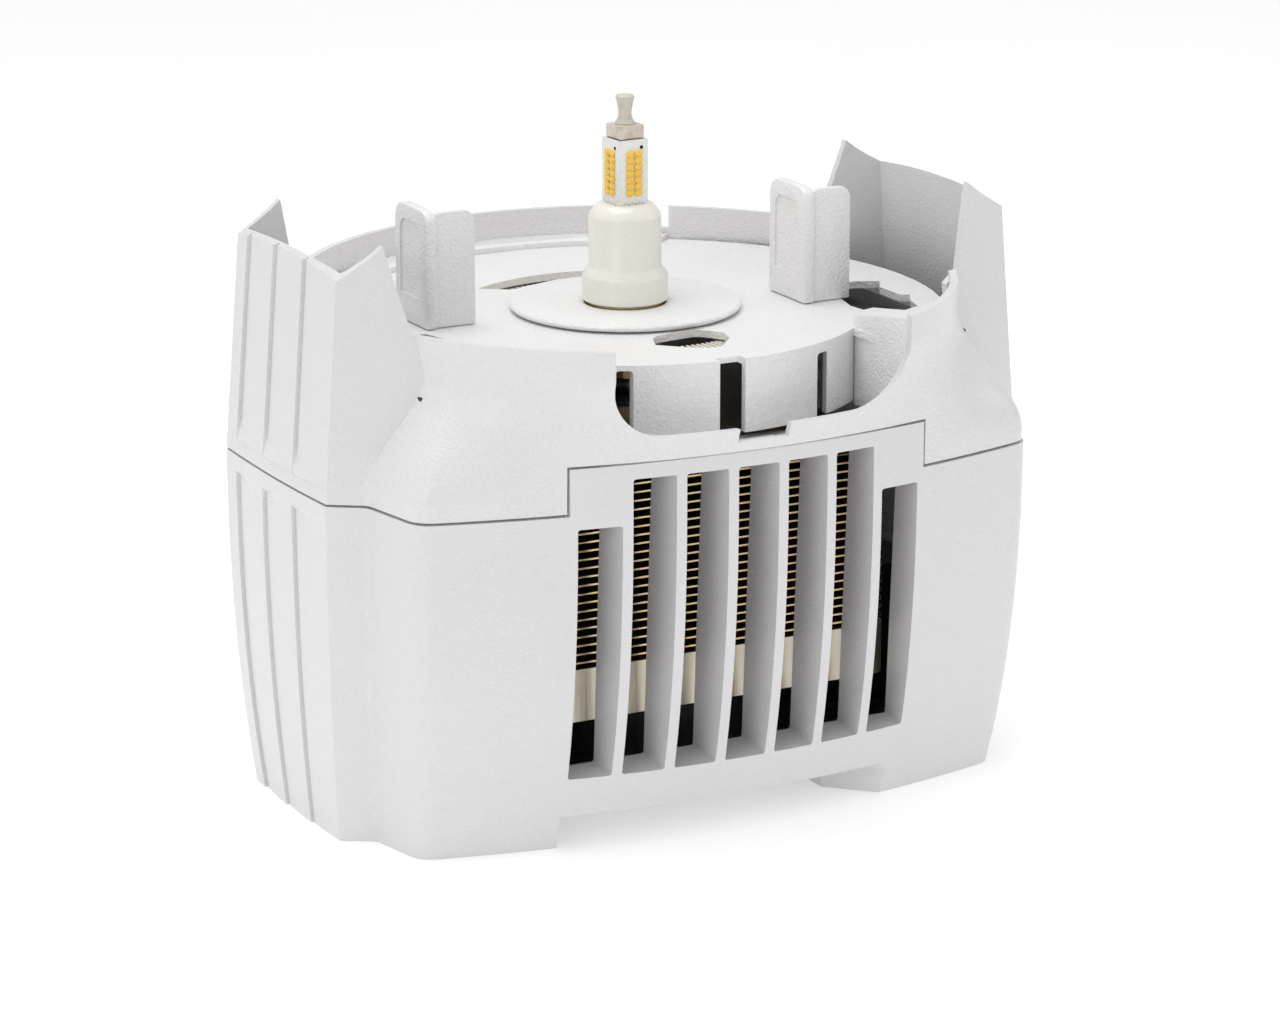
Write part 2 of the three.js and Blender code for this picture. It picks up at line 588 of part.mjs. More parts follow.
const INLET = { x: [-44, -14], z: [68, 92] };
const TERMINALS = { x: [14, 46], z: [68, 90] };
const ANTENNA_X = 32;
const ANTENNA_R = 3;
const inside = ([low, high]) => [low + GAP, high - GAP];
const onPanel = (geometry, x) => geometry.translate(x, PANEL_Y, BUTTON_Z);

function controlPanel() {
  const size = [inside([-PANEL_X, PANEL_X]), [PANEL_Y - WALL, PANEL_Y], inside([PANEL_LOW, PANEL_HIGH])];
  let plate = solid(block(...size));
  const through = (radius, x) => onPanel(rod(radius, -10, 10, 16).rotateX(Math.PI / 2), x);
  for (const x of Object.values(BUTTONS)) plate = plate.subtract(solid(through(BUTTON_R + GAP, x)));
  for (const { x, z } of [INLET, TERMINALS])
    plate = plate.subtract(solid(block(x, [PANEL_Y - 10, PANEL_Y + 10], z)));
  return plate.subtract(solid(through(ANTENNA_R + GAP, ANTENNA_X)));
}
add("control_panel", controlPanel(), GREY);
for (const [name, x] of Object.entries(BUTTONS)) {
  const button = onPanel(rod(BUTTON_R, -8, 3, 16).rotateX(-Math.PI / 2), x);
  add(name, solid(button), name === "learn_button" ? COPPER : BLACK);
}
const inletBody = block(inside(INLET.x), [PANEL_Y - 22, PANEL_Y + 1.5], inside(INLET.z));
const inletHollow = block([-40, -18], [PANEL_Y - 16, PANEL_Y + 5], [71, 89]);
add("power_inlet", solid(inletBody).subtract(solid(inletHollow)), BLACK);
const terminals = block(inside(TERMINALS.x), [PANEL_Y - 12, PANEL_Y + 4], inside(TERMINALS.z));
add("terminal_block", solid(terminals), GREY);
const sleeve = onPanel(rod(ANTENNA_R, -12, 5, 12).rotateX(-Math.PI / 2), ANTENNA_X);
add("antenna_sleeve", solid(sleeve), BLACK);

// ---- Fasteners ----------------------------------------------------------------------
const SCREWS = [[-118, -56], [-118, 56], [118, -56], [118, 56]];
SCREWS.forEach(([x, y], i) => {
  const screwHead = solid(rod(4, CHASSIS_HIGH + GAP, CHASSIS_HIGH + 3, 12));
  add("housing_screw_" + (i + 1), screwHead, STEEL, [x, y, 0]);
});

// ---- Frame --------------------------------------------------------------------------
group.position.y = -new THREE.Box3().setFromObject(group).getCenter(new THREE.Vector3()).y;

export default group;
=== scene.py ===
# %% [markdown]
# # A garage door opener's power head
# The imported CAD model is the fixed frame. This lesson gives it its looks: a cast and powder-coated
# housing in two parts, a deck with two angle posts, an LED lamp and the finned motor behind the slots.

# %% Load the frame
import math
import bmesh
import bpy
from mathutils import Matrix, Vector


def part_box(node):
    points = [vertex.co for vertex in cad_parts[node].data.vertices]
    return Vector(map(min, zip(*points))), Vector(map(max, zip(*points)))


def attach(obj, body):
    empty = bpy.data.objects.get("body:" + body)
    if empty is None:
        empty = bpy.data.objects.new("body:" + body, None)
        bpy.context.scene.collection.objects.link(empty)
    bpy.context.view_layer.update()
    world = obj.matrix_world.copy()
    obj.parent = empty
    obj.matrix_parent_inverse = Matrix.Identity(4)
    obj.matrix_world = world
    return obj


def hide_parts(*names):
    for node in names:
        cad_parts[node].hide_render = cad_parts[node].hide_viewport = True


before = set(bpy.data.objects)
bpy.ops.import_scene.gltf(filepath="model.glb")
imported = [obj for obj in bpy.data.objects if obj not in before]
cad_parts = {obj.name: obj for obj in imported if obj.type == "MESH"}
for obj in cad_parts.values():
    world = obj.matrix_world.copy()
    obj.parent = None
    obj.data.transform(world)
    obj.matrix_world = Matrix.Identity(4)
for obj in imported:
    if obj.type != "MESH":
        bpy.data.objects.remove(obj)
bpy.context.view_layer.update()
PI = math.pi
MM = 0.001
shaft_low, shaft_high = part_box("motor_shaft")
AXIS = Vector(((shaft_low.x + shaft_high.x) / 2, (shaft_low.y + shaft_high.y) / 2, 0))

# %% [markdown]
# The camera stands low in front of the left corner with a long lens, so that upright edges stay
# almost parallel. Its place is given from the motor axis, as everything else is.

# %% Camera
camera = bpy.data.objects.new("camera", bpy.data.cameras.new("camera"))
bpy.context.scene.collection.objects.link(camera)
camera.location = AXIS + Vector((-0.8635, -1.6657, 0.6376))
camera.rotation_euler = (math.radians(90 - 15.78), 0, math.radians(-27.59))
camera.data.lens = 131.58
camera.data.sensor_width = 36
bpy.context.scene.camera = camera
print("lens", camera.data.lens)

# %% [markdown]
# A product photographer lights a white object on a white floor with big soft boxes and a bright
# surround. Three area lights and a bright world do the same: the large one above keeps the tops
# light, the left one draws the ribs and the shoulders, and the front one is only a fill.

# %% Light and floor
def soft_box(name, place, aim, size, power):
    lamp = bpy.data.objects.new(name, bpy.data.lights.new(name, "AREA"))
    lamp.data.size = size
    lamp.data.energy = power
    lamp.location = place
    lamp.rotation_euler = (Vector(aim) - Vector(place)).to_track_quat("-Z", "Y").to_euler()
    bpy.context.scene.collection.objects.link(lamp)


MIDDLE = (0, 0, 0.12)
soft_box("top_light", (-0.2, 0.1, 1.5), MIDDLE, 1.0, 10)
soft_box("left_light", (-1.5, -1.0, 0.8), MIDDLE, 0.8, 3.2)
soft_box("right_light", (1.7, -0.6, 0.9), MIDDLE, 0.8, 2.2)
world = bpy.data.worlds.new("studio")
bpy.context.scene.world = world
world.use_nodes = True
world.node_tree.nodes["Background"].inputs["Color"].default_value = (1, 1, 1, 1)
world.node_tree.nodes["Background"].inputs["Strength"].default_value = 0.66
bpy.context.scene.view_settings.view_transform = "Standard"

# %% [markdown]
# ## Writing materials as sums
# A `Wire` is one socket of a node tree. Adding, multiplying or comparing wires adds the Math nodes,
# so a pattern reads like the formula it is. A `Finish` is one material with its shader, and its
# `node` method makes any other node.

# %% Shader helpers
class Wire:
    def __init__(self, finish, socket):
        self.finish, self.socket = finish, socket

    def math(self, operation, *others):
        values = {i: v for i, v in enumerate((self, *others))}
        return self.finish.node("ShaderNodeMath", {"operation": operation}, values)

    def __add__(self, other):
        return self.math("ADD", other)

    __radd__ = __add__

    def __mul__(self, other):
        return self.math("MULTIPLY", other)

    __rmul__ = __mul__

    def __sub__(self, other):
        return self.math("SUBTRACT", other)

    def __rsub__(self, other):
        return self.finish.node("ShaderNodeMath", {"operation": "SUBTRACT"}, {0: other, 1: self})

    def above(self, level):
        return self.math("GREATER_THAN", level)


class Finish:
    def __init__(self, name, **sockets):
        self.material = bpy.data.materials.new(name)
        self.material.use_nodes = True
        self.tree = self.material.node_tree
        self.shader = self.tree.nodes["Principled BSDF"]
        for socket, value in sockets.items():
            self.shader.inputs[socket.replace("_", " ")].default_value = value
        self.place = self.node("ShaderNodeTexCoord", {}, {}, "Object")

    def node(self, kind, settings, values, output=0, stops=None):
        made = self.tree.nodes.new(kind)
        for key, value in settings.items():
            setattr(made, key, value)
        if stops:
            ramp = made.color_ramp.elements
            while len(ramp) < len(stops):
                ramp.new(0.5)
            for element, (at, colour) in zip(ramp, stops):
                element.position, element.color = at, (*colour, 1)
        for socket, value in values.items():
            self.feed(made.inputs[socket], value)
        return Wire(self, made.outputs[output])

    def feed(self, socket, value):
        if isinstance(value, Wire):
            self.tree.links.new(value.socket, socket)
        else:
            socket.default_value = value

    def set(self, **sockets):
        for socket, value in sockets.items():
            self.feed(self.shader.inputs[socket.replace("_", " ")], value)

    def noise(self, scale, detail=2.0, stretch=None):
        vector = self.place
        if stretch:
            vector = self.node("ShaderNodeMapping", {}, {"Vector": self.place, "Scale": stretch})
        return self.node("ShaderNodeTexNoise", {}, {"Vector": vector, "Scale": scale, "Detail": detail})

    def cells(self, scale):
        return self.node(
            "ShaderNodeTexVoronoi", {"feature": "SMOOTH_F1"}, {"Vector": self.place, "Scale": scale}
        )

    def bump(self, height, distance, strength=1.0):
        values = {"Height": height, "Distance": distance, "Strength": strength}
        self.set(Normal=self.node("ShaderNodeBump", {}, values))

    def ramp(self, factor, *stops):
        return self.node("ShaderNodeValToRGB", {}, {"Fac": factor}, stops=stops)

    def spread(self, wire, low, high):
        return self.node(
            "ShaderNodeMapRange",
            {},
            {"Value": wire, "From Min": 0.3, "From Max": 0.7, "To Min": low, "To Max": high},
        )


FINISHES = {}


def keep(name, finish):
    FINISHES[name] = finish.material
    print("finish", name)


# %% [markdown]
# ## Powder coat
# The casting is coated with a pearl white powder. It melts into a skin of soft, low pebbles one to
# two millimetres wide, and looks glossier on their tops. Smooth Voronoi cells give the pebbles and a
# broad noise keeps the tone from being flat. A near-black copy of the powder is painted shade, for
# the inside of the shell and the hollows under the deck, where the light does not reach.

# %% Powder coat
def powder(name, light, dark, pebble, depth):
    finish = Finish(name, Coat_Weight=0.4, Coat_Roughness=0.16, Specular_IOR_Level=0.5)
    pebbles = finish.cells(pebble)
    patches = finish.noise(22.0)
    grit = finish.noise(1400.0)
    finish.set(Base_Color=finish.ramp(patches * 0.6 + grit * 0.2 + pebbles * 0.3, (0.2, dark), (0.75, light)))
    finish.set(Roughness=finish.spread(patches, 0.34, 0.5) + pebbles * 0.08)
    finish.bump(pebbles * 0.8 + grit * 0.15, depth)
    keep(name, finish)


powder("housing_coat", (0.72, 0.715, 0.725), (0.68, 0.675, 0.685), 1300.0, 0.00028)
powder("shoulder_coat", (0.76, 0.75, 0.75), (0.71, 0.70, 0.70), 950.0, 0.00045)
# Painted shade: this near-black coat stands for the dark inside of the housing.
powder("inside_painted_shade", (0.02, 0.019, 0.018), (0.01, 0.01, 0.009), 500.0, 0.0002)
powder("deck_coat", (0.84, 0.835, 0.835), (0.78, 0.77, 0.775), 850.0, 0.0006)

# %% [markdown]
# ## Metals
# Drawn and turned metal shows fine lines along its cut. A noise squeezed along one axis makes them,
# and it drives both the roughness and a very low bump.

# %% Metals
def metal(name, light, dark, grain, rough=(0.22, 0.4), metallic=1.0):
    finish = Finish(name, Metallic=metallic)
    lines = finish.noise(60.0, 4.0, grain)
    smudge = finish.noise(30.0)
    finish.set(Base_Color=finish.ramp(lines * 0.6 + smudge * 0.4, (0.3, dark), (0.7, light)))
    finish.set(Roughness=finish.spread(lines, *rough))
    finish.bump(lines, 0.00008)
    keep(name, finish)


ROUND_LINES = (0.3, 0.3, 40.0)
UP_LINES = (25.0, 25.0, 0.4)
metal("champagne_fin", (0.92, 0.70, 0.38), (0.70, 0.50, 0.24), ROUND_LINES)
metal("champagne_band", (0.86, 0.80, 0.68), (0.60, 0.54, 0.44), UP_LINES, (0.3, 0.5))
metal("cap_metal", (0.84, 0.80, 0.72), (0.46, 0.34, 0.25), (4.0, 4.0, 4.0), (0.3, 0.5), 0.3)
metal("turned_steel", (0.62, 0.62, 0.63), (0.40, 0.40, 0.42), ROUND_LINES)
metal("sheet_steel", (0.58, 0.59, 0.60), (0.42, 0.43, 0.44), (0.5, 30.0, 30.0))
metal("brass_shell", (0.80, 0.60, 0.28), (0.55, 0.38, 0.14), ROUND_LINES)
metal("copper_winding", (0.62, 0.26, 0.12), (0.32, 0.11, 0.05), (1.0, 1.0, 60.0))

# %% [markdown]
# ## Moulded plastics
# Moulded parts have a fine spark-eroded grain and slight changes of tone where the plastic flowed.

# %% Plastics
def plastic(name, light, dark, grain=900.0, rough=(0.35, 0.55), **sockets):
    finish = Finish(name, **sockets)
    flow = finish.noise(35.0, 3.0)
    skin = finish.noise(grain, 2.0)
    finish.set(Base_Color=finish.ramp(flow * 0.7 + skin * 0.3, (0.3, dark), (0.7, light)))
    finish.set(Roughness=finish.spread(skin, *rough))
    finish.bump(skin, 0.00006)
    keep(name, finish)


plastic("lamp_ceramic", (0.86, 0.85, 0.78), (0.80, 0.79, 0.71), 900.0, (0.25, 0.38), Coat_Weight=0.3)
plastic("stem_plastic", (0.86, 0.83, 0.74), (0.66, 0.61, 0.50), 300.0, (0.12, 0.25), Transmission_Weight=0.3)
# This black serves real black plastic parts and the painted shade between the fins.
plastic("black_plastic_and_shade", (0.02, 0.02, 0.021), (0.01, 0.01, 0.011))
plastic("grey_plastic", (0.36, 0.355, 0.35), (0.28, 0.275, 0.27))
plastic("nylon", (0.78, 0.75, 0.66), (0.66, 0.63, 0.54))
plastic("red_plastic", (0.62, 0.10, 0.04), (0.45, 0.06, 0.02))
plastic("green_resist", (0.05, 0.22, 0.11), (0.02, 0.12, 0.06), 500.0, (0.2, 0.35), Coat_Weight=0.4)
plastic("white_resist", (0.88, 0.88, 0.86), (0.78, 0.78, 0.75), 500.0, (0.2, 0.35))
plastic("led_phosphor", (0.98, 0.72, 0.10), (0.90, 0.46, 0.02), 700.0, (0.25, 0.4), Coat_Weight=0.5)

# %% [markdown]
# ## Making pieces
# Every piece is shaped in millimetres about the motor axis, then `finish_piece` scales it to metres
# and puts it on the axis, in its mesh. Outlines are pulled up level by level: each vertex remembers
# where it started in two layers, so a rule can place it for any height.

# %% Piece helpers
def new_object(name, shape, *finishes):
    mesh = bpy.data.meshes.new(name)
    shape.to_mesh(mesh)
    shape.free()
    piece = bpy.data.objects.new(name, mesh)
    bpy.context.scene.collection.objects.link(piece)
    for finish in finishes:
        mesh.materials.append(FINISHES[finish])
    return piece


def outward(shape):
    bmesh.ops.remove_doubles(shape, verts=shape.verts, dist=0.001)
    bmesh.ops.recalc_face_normals(shape, faces=shape.faces)
    return shape


def flat_outline(points, rounds=None):
    """One face in the XY plane. rounds gives a radius for a corner, by its place in the list."""
    shape = bmesh.new()
    corners = [shape.verts.new((x, y, 0)) for x, y in points]
    shape.faces.new(corners)
    for index, radius in sorted((rounds or {}).items()):
        steps = 4 if radius < 8 else 12
        bmesh.ops.bevel(
            shape, geom=[corners[index]], offset=radius, segments=steps, profile=0.5, affect="VERTICES",
            material=-1,
        )
    return shape


def pulled(shape, levels, rule=None):
    """Pulls the one face of an outline up through the levels, and closes both ends."""
    rule = rule or (lambda x, y, z: (x, y, z))
    base_x = shape.verts.layers.float.new("base_x")
    base_y = shape.verts.layers.float.new("base_y")
    for vert in shape.verts:
        vert[base_x], vert[base_y] = vert.co.x, vert.co.y
        vert.co = rule(vert.co.x, vert.co.y, levels[0])
    top = shape.faces[:] + shape.edges[:] + shape.verts[:]
    for level in levels[1:]:
        top = bmesh.ops.extrude_face_region(shape, geom=top)["geom"]
        for vert in (item for item in top if isinstance(item, bmesh.types.BMVert)):
            vert.co = rule(vert[base_x], vert[base_y], level)
    return outward(shape)


def box(x, y, z):
    shape = bmesh.new()
    size = Matrix.Diagonal((x[1] - x[0], y[1] - y[0], z[1] - z[0], 1))
    middle = Matrix.Translation(((x[0] + x[1]) / 2, (y[0] + y[1]) / 2, (z[0] + z[1]) / 2))
    bmesh.ops.create_cube(shape, size=1, matrix=middle @ size)
    return shape


def rounded(shape, width, segments=2, sharp=0.6, pick=None):
    edges = [e for e in shape.edges if len(e.link_faces) == 2 and e.calc_face_angle(0) > sharp]
    if pick:
        edges = [edge for edge in edges if pick(edge)]
    bmesh.ops.bevel(
        shape, geom=edges, offset=width, segments=segments, profile=0.5, affect="EDGES", material=-1,
        clamp_overlap=True,
    )
    return shape


def turned(profile, steps=96):
    """Spins a profile of (radius, height) points about the axis."""
    shape = bmesh.new()
    verts = [shape.verts.new((r, 0, z)) for r, z in profile]
    edges = [shape.edges.new(pair) for pair in zip(verts, verts[1:])]
    bmesh.ops.spin(
        shape, geom=verts + edges, cent=(0, 0, 0), axis=(0, 0, 1), angle=2 * PI, steps=steps, use_merge=True
    )
    return outward(shape)


def ring_profile(*points):
    return [*points, points[0]]


def moved(shape, matrix):
    bmesh.ops.transform(shape, matrix=matrix, verts=shape.verts)
    return shape


def along_y(shape, from_y, to_y):
    """Turns an outline pulled from 0 to 1 so that it runs along Y."""
    stretch = Matrix.Diagonal((1, 1, to_y - from_y, 1))
    return moved(shape, Matrix.Translation((0, to_y, 0)) @ Matrix.Rotation(PI / 2, 4, "X") @ stretch)


def carve(piece, other, operation="DIFFERENCE"):
    """Cuts or joins a piece with another object, which is then thrown away."""
    cutter = piece.modifiers.new("cut", "BOOLEAN")
    cutter.operation, cutter.object, cutter.solver = operation, other, "MANIFOLD"
    result = bpy.data.meshes.new_from_object(piece.evaluated_get(bpy.context.evaluated_depsgraph_get()))
    piece.modifiers.clear()
    old, piece.data = piece.data, result
    bpy.data.meshes.remove(old)
    bpy.data.objects.remove(other)
    return piece


def cut_with(piece, shape, finish="housing_coat", operation="DIFFERENCE"):
    return carve(piece, new_object("cutter", shape, finish), operation)


TO_FRAME = Matrix.Translation(AXIS) @ Matrix.Diagonal((MM, MM, MM, 1))


def finish_piece(piece, body, slot, *replaced, edge=0.0, crease=35):
    piece.data.transform(TO_FRAME)
    for face in piece.data.polygons:
        face.use_smooth = True
    piece.data.set_sharp_from_angle(angle=math.radians(crease))
    if edge:
        soften = piece.modifiers.new("worn_edge", "BEVEL")
        soften.width, soften.segments, soften.limit_method = edge * MM, 2, "ANGLE"
        soften.angle_limit = math.radians(crease)
        soften.harden_normals = True
    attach(piece, body)
    if replaced:
        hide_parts(*replaced)
    print(piece.name, len(piece.data.polygons), "faces")
    return piece


# %% [markdown]
# ## Housing plan
# Both housings share one plan: bowed front and back, facets at the corners, and flat ends with three
# saw-tooth ribs. Each rib is cut in at one side and runs out flush at the other. The plan is worked
# out for one half and mirrored.

# %% Plan
END_X, END_HALF = 157.7, 50.0
NOTCH = (144.3, 59.1)
CORNER = (138.3, 92.6)
FRONT_Y, FRONT_BOW = 114.8, 22.2
PARTING, PARTING_GAP, STEP_RISE, STEP_HALF = 141.9, 1.0, 19.0, 79.6
WALL = 3.0
CREASE_X = 82.0
RIB_EDGES = (39.0, 10.0, -19.0)
RIB_DEPTH = 1.1
RIB_GROOVE = 1.3
CROWN_R, RIM = 136.5, 208.5
TOWER_TOP = 231.0


def front_y(x):
    return FRONT_Y - FRONT_BOW * (x / CORNER[0]) ** 2


def end_bow(y):
    return 1.5 * (1 - (y / END_HALF) ** 2)


def half_plan(side, ribs):
    """Points from the back of one end to its front, with side 1 for the right end."""
    points = [(END_X + end_bow(END_HALF), END_HALF)]
    for edge, after in zip(RIB_EDGES, (*RIB_EDGES[1:], -END_HALF)):
        points.append((END_X + end_bow(edge), edge))
        if ribs:
            x = END_X + end_bow(edge) - RIB_DEPTH
            points += [(x - RIB_GROOVE, edge - 0.4), (x - RIB_GROOVE, edge - 1.4), (x, edge - 2.0)]
        for share in (0.33, 0.66):
            y = edge + (after - edge) * share
            points.append((END_X + end_bow(y) - ribs * RIB_DEPTH * (1 - share) ** 1.3, y))
    points.append((END_X + end_bow(-END_HALF), -END_HALF))
    return [(side * x, y) for x, y in points]


def housing_plan(inset=0.0, ribs=True):
    """The whole plan, anticlockwise from the middle of the front, and the corners to round."""
    half_front = (10, 20, 32, 44, 56, 68, CREASE_X, 88, 97, 107, 117, 127)
    across = [-x for x in reversed(half_front)] + [0, *half_front]
    front = [(x, -front_y(x)) for x in across]
    right = [(CORNER[0], -CORNER[1]), (NOTCH[0], -NOTCH[1])]
    right_end = [(x, y) for x, y in reversed(half_plan(1, ribs))]
    back = [(-x, -y) for x, y in front]
    points = [*front, *right, *right_end, (NOTCH[0], NOTCH[1]), (CORNER[0], CORNER[1])]
    points += [*back, (-CORNER[0], CORNER[1]), (-NOTCH[0], NOTCH[1])]
    points += [*half_plan(-1, ribs), (-NOTCH[0], -NOTCH[1]), (-CORNER[0], -CORNER[1])]
    shrink_x, shrink_y = 1 - inset / END_X, 1 - inset / FRONT_Y
    rounds = {i: 6.0 for i, (x, y) in enumerate(points) if (abs(x), abs(y)) == CORNER}
    rounds |= {i: 2.5 for i, (x, y) in enumerate(points) if (abs(x), abs(y)) == NOTCH}
    return [(x * shrink_x, y * shrink_y) for x, y in points], rounds


print("plan points", len(housing_plan()[0]))

# %% [markdown]
# ## Lower housing
# A barrel-shaped shell with seven deep slots. The bars between the slots reach 25 mm inwards like
# cooling ribs, so the shell is hollowed everywhere except there. Its inside is painted nearly black:
# painted shade for the dark seen between the bars. An arch along the middle leaves a foot at each end.

# %% Lower housing
SLOTS, SLOT_PITCH, SLOT_WIDTH = 7, 22.5, 18.2
SLOT_LOW, SLOT_HIGH, END_SLOT_HIGH = 32.6, 154.8, 136.4
BAR_REACH_LOW, BAR_REACH_HIGH = -85.0, -92.0
ARCH, FOOT_X, FOOT_IN = 14.4, 77.9, 53.0
SILL_FALL = 4.0
RIB_START = 134.0


def barrel(x, y, z):
    share = max(0.0, (PARTING - z) / PARTING) ** 2.4
    return (x * (1 - share * 6.9 / END_X), y * (1 - share * 18.4 / FRONT_Y), z)


def barrel_levels(low, high, *extra):
    count = 14
    return sorted({low + (high - low) * i / count for i in range(count + 1)} | set(extra))


def flush_barrel(x, y, z):
    """The barrel, with its ribs filled flush above the point where they start."""
    if z > RIB_START and abs(x) > NOTCH[0] + 6:
        x = math.copysign(END_X + end_bow(y), x)
    return barrel(x, y, z)


def over_parting(low, half):
    step = [(-200, low), (-half, low), (-half, low + STEP_RISE), (half, low + STEP_RISE)]
    step += [(half, low), (200, low), (200, 400), (-200, 400)]
    return along_y(pulled(flat_outline(step), (0, 1)), -200, 200)


def lower_shell():
    top = PARTING + STEP_RISE
    levels = barrel_levels(0.0, top, RIB_START, RIB_START + 1.2)
    skin = pulled(flat_outline(*housing_plan()), levels, flush_barrel)
    piece = new_object("lower_housing_shell", skin, "housing_coat")
    inner_plan = flat_outline(*housing_plan(WALL + RIB_DEPTH + RIB_GROOVE, False))
    hollow = pulled(inner_plan, barrel_levels(ARCH + WALL, top + 2), barrel)
    # The hollow's walls and the bars' inner faces take the near-black coat: painted shade.
    hollow_piece = new_object("hollow", hollow, "inside_painted_shade")
    cut_with(hollow_piece, bars_block(), "inside_painted_shade")
    carve(piece, hollow_piece)
    cut_with(piece, over_parting(PARTING, STEP_HALF))
    for i in range(SLOTS):
        cut_with(piece, grille_slot(i))
    cut_with(piece, arch_block())
    cut_with(piece, box((-56, 56), (88, 200), (58, 126)))
    # The round hole in the floor is painted near-black as shade too.
    cut_with(piece, turned([(0, -1), (32, -1), (32, 20), (0, 20)]), "inside_painted_shade")
    return piece


def bars_block():
    """The space the bars keep in the hollow: their inner edges lean outwards as they rise."""
    half = SLOTS * SLOT_PITCH / 2 + 2

    def lean(x, y, z):
        share = (z - SLOT_LOW) / (SLOT_HIGH - SLOT_LOW)
        return (x, y if y < -150 else BAR_REACH_LOW + (BAR_REACH_HIGH - BAR_REACH_LOW) * share, z)

    outline = flat_outline([(-half, -200), (half, -200), (half, 0), (-half, 0)])
    return pulled(outline, (SLOT_LOW - 3, 200), lean)


def grille_slot(index):
    """A slot with small corner rounds, and a sill that falls towards the front."""
    x = (index - (SLOTS - 1) / 2) * SLOT_PITCH
    high = END_SLOT_HIGH if index in (0, SLOTS - 1) else SLOT_HIGH
    shape = box((x - SLOT_WIDTH / 2, x + SLOT_WIDTH / 2), (-130, -78), (SLOT_LOW, high))
    for vert in shape.verts:
        if vert.co.y < -100 and vert.co.z < 60:
            vert.co.z -= SILL_FALL
    return rounded(shape, 1.0, 2, pick=lambda e: abs(e.verts[0].co.y - e.verts[1].co.y) > 50)


def arch_block():
    """The space between the feet. The right one widens inwards behind its front corner."""
    plan = [(FOOT_X, -200), (FOOT_X, -99), (FOOT_IN, -74), (FOOT_IN, 74), (FOOT_X, 99), (FOOT_X, 200)]
    shape = pulled(flat_outline([*plan, (-FOOT_X, 200), (-FOOT_X, -200)]), (-5, ARCH))
    return rounded(shape, 6, 4, pick=lambda e: all(v.co.z > 0 and abs(v.co.y) < 199 for v in e.verts))


finish_piece(lower_shell(), "head", "housing_paint", "lower_housing", edge=0.7)

# %% [markdown]
# Behind the parting line the lower shell carries a lip that the upper shell drops over, so the
# line between them is a shallow groove and not a gap into the dark.

# %% Parting lip
LIP_OUT, LIP_IN = 1.0, 2.0


def parting_lip():
    low, high = PARTING - 3, PARTING + STEP_RISE + 3
    outer, inner = (
        flat_outline(*housing_plan(inset + RIB_DEPTH + RIB_GROOVE, False)) for inset in (LIP_OUT, LIP_IN)
    )
    piece = new_object("parting_lip", pulled(outer, (low, high), barrel), "housing_coat")
    cut_with(piece, pulled(inner, (low - 1, high + 1), barrel))
    for x in ((-200, -STEP_HALF - 3), (STEP_HALF + 3, 200)):
        cut_with(piece, box(x, (-200, 200), (PARTING + 3, high + 1)))
    cut_with(piece, box((3 - STEP_HALF, STEP_HALF - 3), (-200, 200), (low - 1, high - 6)))
    return piece


finish_piece(parting_lip(), "head", "housing_paint")

# %% [markdown]
# ## Upper housing
# A round wall grows out of the faceted plan. Over the corners the skin sweeps in and up like a bell,
# and over the grille it stands straight and then flares out. Both ends rise into towers, open to the
# middle, whose side walls turn inwards and end in pointed wings. The skin is one outline pulled up
# through many levels by a rule, the towers are two more, and all three are joined.

# %% Upper housing
WINDOW_HALF, WINDOW_LOW, WINDOW_ROUND = 65.8, 171.7, 24.0
KEY_HALF, KEY_LOW = 11.4, 165.8
WING_TIP, WING_FOOT = (132.3, 243.5), (123.6, 208.7)
END_ARCH = 3.6
DECK_TOP = 194.2
TOWER_IN = 116.0
UPPER_RIB_START = 148.0


def smooth(t):
    t = min(1.0, max(0.0, t))
    return t * t * (3 - 2 * t)


def shoulder(inset):
    def rule(x, y, z):
        angle, radius = math.atan2(y, x), math.hypot(x, y)
        bell = smooth((z - 147) / 50)
        flare = min(1.0, max(0.0, (z - PARTING) / 54)) ** 2.2
        corner = min(1.0, max(0.0, (abs(x) - CREASE_X) / 14))
        share = flare + (bell - flare) * corner
        r = radius + (CROWN_R - inset - radius) * share
        return (r * math.cos(angle), r * math.sin(angle), z)

    return rule


def tower(side, inset, low, high, ribs):
    """A solid end block whose walls lean in and turn inwards as they rise."""
    outer = half_plan(1, ribs)
    outline = [(TOWER_IN, -END_HALF), *reversed(outer), (TOWER_IN, END_HALF)]

    def rule(x, y, z):
        rise = (z - PARTING) / (TOWER_TOP - PARTING)
        end_x = END_X - 6.7 * rise - inset
        reach = 1 - (1.4 * rise + 0.9 * inset) / END_HALF
        if x < TOWER_IN + 1:
            spread = (0.68 - 0.436 * rise) * (end_x - TOWER_IN)
            return (side * x, math.copysign(END_HALF * reach + spread, y), z)
        if z < UPPER_RIB_START:
            x = END_X + end_bow(y)
        return (side * (x - END_X + end_x), y * reach, z)

    levels = [low + (high - low) * i / 16 for i in range(17)]
    levels = sorted({*levels, UPPER_RIB_START - 0.01, UPPER_RIB_START + 1.2})
    return pulled(flat_outline(outline), levels, rule)


def painted_shade_lining():
    """A hair more off the inside below the deck, coloured near-black as painted shade under the deck."""
    levels = [PARTING - 8 + (DECK_TOP - 6 - PARTING + 8) * i / 12 for i in range(13)]
    return pulled(flat_outline(*housing_plan(3.7, False)), levels, shoulder(WALL + 0.1))


